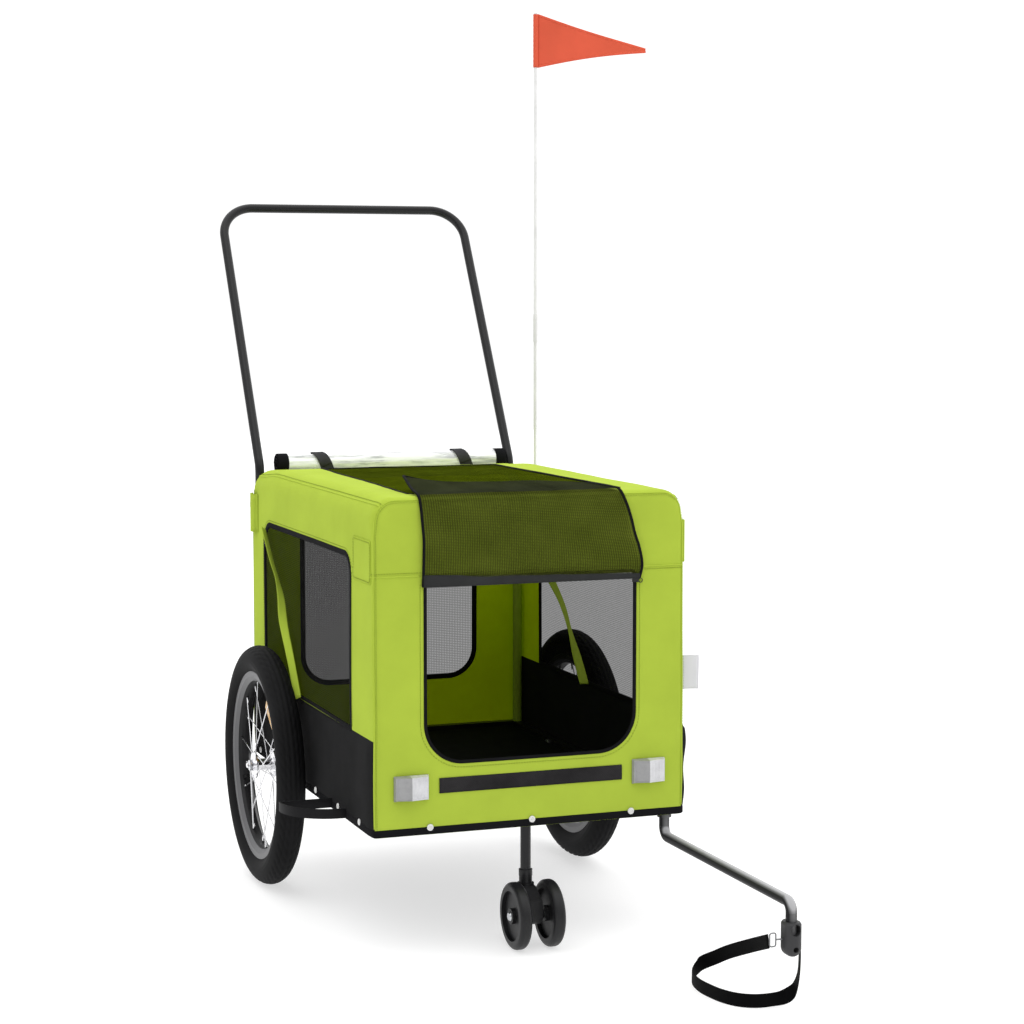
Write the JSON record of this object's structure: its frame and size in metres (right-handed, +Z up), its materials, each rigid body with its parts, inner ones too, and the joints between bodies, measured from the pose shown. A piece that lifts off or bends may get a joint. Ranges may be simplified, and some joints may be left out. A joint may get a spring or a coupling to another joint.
{
  "type": "bicycle trailer",
  "caption": "Two-wheeled bicycle trailer with a fabric cabin, mesh windows, rolled-up front door, front castor, push handle, tow arm and safety flag.",
  "frame": {"origin": "on the ground, straight below the middle of the main wheel axle", "axes": "+Z up, -Y forwards (the way the trailer is towed), +X towards the trailer's own left side, which carries the tow arm"},
  "size_m": [0.816, 1.446, 1.483],
  "materials": {
    "frame_black": "black anodised",
    "frame_tube": "satin",
    "steel": "brushed",
    "chrome": "polished",
    "floor_board": "matt",
    "black_steel": "semi-gloss powder coat",
    "black_plastic": "matt",
    "green_fabric": "woven polyester",
    "black_fabric": "woven polyester",
    "mesh_fabric": "open mesh",
    "webbing": "woven webbing",
    "reflector_clear": "glossy",
    "reflector_amber": "glossy",
    "rain_film": "clear film, rolled",
    "tyre": "matt",
    "rubber_tube": "matt",
    "rim_alloy": "satin",
    "grey_rubber": "satin",
    "pole_white": "glossy fibreglass",
    "flag_orange": "thin nylon",
    "zip_metal": "satin"
  },
  "bodies": {
    "chassis": {"lower_frame": "frame_black", "cross_members": "frame_tube", "floor_panel": "floor_board", "front_hoop": "frame_tube", "rear_hoop": "frame_tube", "side_rails": "frame_tube", "axle_sleeves": "steel", "axles": "steel", "castor_stem": "black_steel", "handle_brackets": "black_plastic", "handle_bolts": "steel", "wheel_guards": "black_steel", "cover_front": "green_fabric", "cover_rear": "green_fabric", "cover_left": "green_fabric", "cover_right": "green_fabric", "cover_roof": "green_fabric", "side_panels": "black_fabric", "window_left": "mesh_fabric", "window_right": "mesh_fabric", "window_rear": "mesh_fabric", "window_roof": "mesh_fabric", "door_flap": "mesh_fabric", "hook_strip": "black_fabric", "front_reflectors": "reflector_clear", "cover_screws": "chrome", "rain_cover": "rain_film", "rain_cover_straps": "black_fabric", "side_loops": "green_fabric", "tie_straps": "green_fabric", "flag_socket": "black_plastic"},
    "wheel_left": {"tyre_left": "tyre", "inner_tube_left": "rubber_tube", "rim_left": "rim_alloy", "spokes_left": "chrome", "hub_left": "chrome", "bearings_left": "steel", "spoke_reflector_left": "reflector_amber"},
    "wheel_right": {"tyre_right": "tyre", "inner_tube_right": "rubber_tube", "rim_right": "rim_alloy", "spokes_right": "chrome", "hub_right": "chrome", "bearings_right": "steel", "spoke_reflector_right": "reflector_amber"},
    "button_left": {"axle_button_left": "chrome"},
    "button_right": {"axle_button_right": "chrome"},
    "castor": {"castor_fork": "black_plastic", "castor_axle": "steel"},
    "castor_roller_left": {"castor_wheel_left": "black_plastic"},
    "castor_roller_right": {"castor_wheel_right": "black_plastic"},
    "handle": {"handle_tube": "black_steel"},
    "tow_arm": {"tow_tube": "chrome"},
    "hitch": {"coupler": "grey_rubber", "strap_ring": "chrome", "safety_strap": "webbing"},
    "pole": {"flag_pole": "pole_white"},
    "pennant": {"flag": "flag_orange"},
    "zip": {"zip_slider": "zip_metal"}
  },
  "joints": [
    {"name": "left_wheel_spin", "type": "hinge", "parent": "chassis", "child": "wheel_left", "pos_m": [0.281, 0, 0.2], "axis": [1, 0, 0], "continuous": true},
    {"name": "right_wheel_spin", "type": "hinge", "parent": "chassis", "child": "wheel_right", "pos_m": [-0.281, 0, 0.2], "axis": [1, 0, 0], "continuous": true},
    {"name": "left_axle_button", "type": "slide", "parent": "chassis", "child": "button_left", "axis": [-1, 0, 0], "range_m": [0, 0.0025], "stiffness_N_per_m": 800, "springref_m": -0.002},
    {"name": "right_axle_button", "type": "slide", "parent": "chassis", "child": "button_right", "axis": [1, 0, 0], "range_m": [0, 0.0025], "stiffness_N_per_m": 800, "springref_m": -0.002},
    {"name": "castor_swivel", "type": "hinge", "parent": "chassis", "child": "castor", "pos_m": [0, -0.502, 0.104], "axis": [0, 0, 1], "continuous": true},
    {"name": "castor_left_spin", "type": "hinge", "parent": "castor", "child": "castor_roller_left", "pos_m": [0.027, -0.533, 0.051], "axis": [1, 0, 0], "continuous": true},
    {"name": "castor_right_spin", "type": "hinge", "parent": "castor", "child": "castor_roller_right", "pos_m": [-0.027, -0.533, 0.051], "axis": [1, 0, 0], "continuous": true},
    {"name": "handle_fold", "type": "hinge", "parent": "chassis", "child": "handle", "pos_m": [0, 0.202, 0.62], "axis": [1, 0, 0], "range_deg": [-150, 0]},
    {"name": "tow_arm_swing", "type": "hinge", "parent": "chassis", "child": "tow_arm", "pos_m": [0.226, -0.512, 0.2], "axis": [0, 0, 1], "range_deg": [-45, 60]},
    {"name": "hitch_swivel", "type": "hinge", "parent": "tow_arm", "child": "hitch", "pos_m": [0.226, -0.945, 0.11], "axis": [0, 0, 1], "range_deg": [-45, 45]},
    {"name": "flag_pole_lift", "type": "slide", "parent": "chassis", "child": "pole", "axis": [0, 0, 1], "range_m": [0, 0.08]},
    {"name": "flag_swivel", "type": "hinge", "parent": "pole", "child": "pennant", "pos_m": [0.27, 0.168, 1.43], "axis": [0, 0, 1], "continuous": true},
    {"name": "zip_slide", "type": "slide", "parent": "chassis", "child": "zip", "axis": [0, 0, -1], "range_m": [0, 0.2]}
  ]
}
